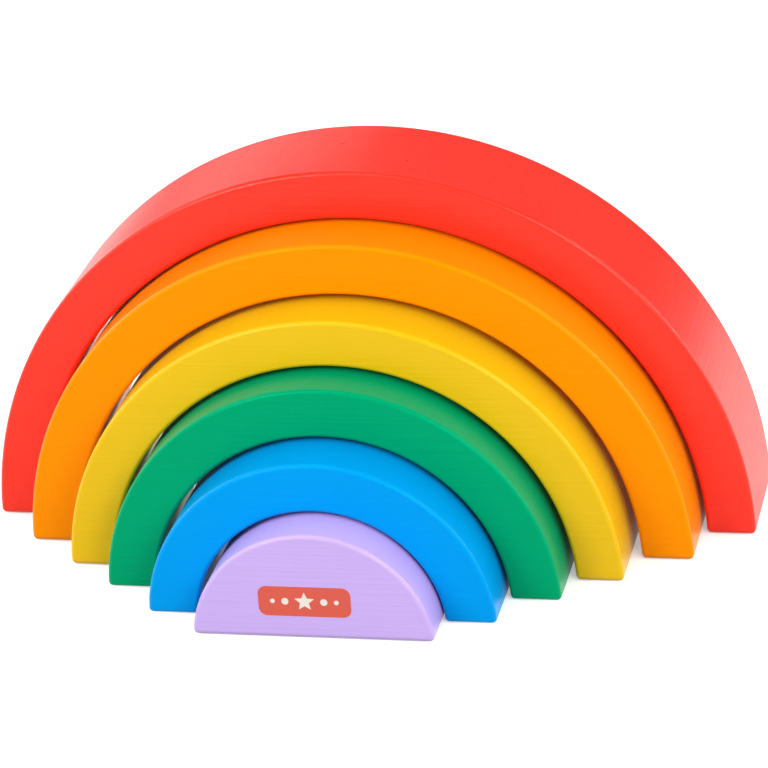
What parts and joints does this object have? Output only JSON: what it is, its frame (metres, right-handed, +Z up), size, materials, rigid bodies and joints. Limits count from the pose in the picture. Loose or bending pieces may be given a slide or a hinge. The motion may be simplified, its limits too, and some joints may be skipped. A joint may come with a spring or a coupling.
{
  "type": "nesting rainbow arch stacking toy",
  "caption": "Nesting rainbow of painted wooden arches over a half-round core, stood in a stepped row on their feet; each inner block slides out from under the next.",
  "frame": {"origin": "on the floor, under the middle of the whole stepped row (bottom centre of its box)", "axes": "+Z up; +X to the right, along the width of the arches; the row steps down towards -Y, the front"},
  "size_m": [0.2798, 0.1366, 0.1365],
  "materials": {
    "red_paint": "satin paint over fine-grained wood",
    "orange_paint": "satin paint over fine-grained wood",
    "yellow_paint": "satin paint over fine-grained wood",
    "green_paint": "satin paint over fine-grained wood",
    "blue_paint": "satin paint over fine-grained wood",
    "purple_paint": "satin paint over fine-grained wood"
  },
  "bodies": {
    "red_arch": {"red_arch": "red_paint"},
    "orange_arch": {"orange_arch": "orange_paint"},
    "yellow_arch": {"yellow_arch": "yellow_paint"},
    "green_arch": {"green_arch": "green_paint"},
    "blue_arch": {"blue_arch": "blue_paint"},
    "purple_core": {"purple_core": "purple_paint"}
  },
  "joints": [
    {"name": "orange_slide", "type": "slide", "parent": "red_arch", "child": "orange_arch", "axis": [0, -1, 0], "range_m": [-0.0215, 0.0365]},
    {"name": "yellow_slide", "type": "slide", "parent": "red_arch", "child": "yellow_arch", "axis": [0, -1, 0], "range_m": [-0.0396, 0.0764]},
    {"name": "green_slide", "type": "slide", "parent": "red_arch", "child": "green_arch", "axis": [0, -1, 0], "range_m": [-0.055, 0.119]},
    {"name": "blue_slide", "type": "slide", "parent": "red_arch", "child": "blue_arch", "axis": [0, -1, 0], "range_m": [-0.0734, 0.1586]},
    {"name": "purple_slide", "type": "slide", "parent": "red_arch", "child": "purple_core", "axis": [0, -1, 0], "range_m": [-0.0886, 0.2014]}
  ]
}
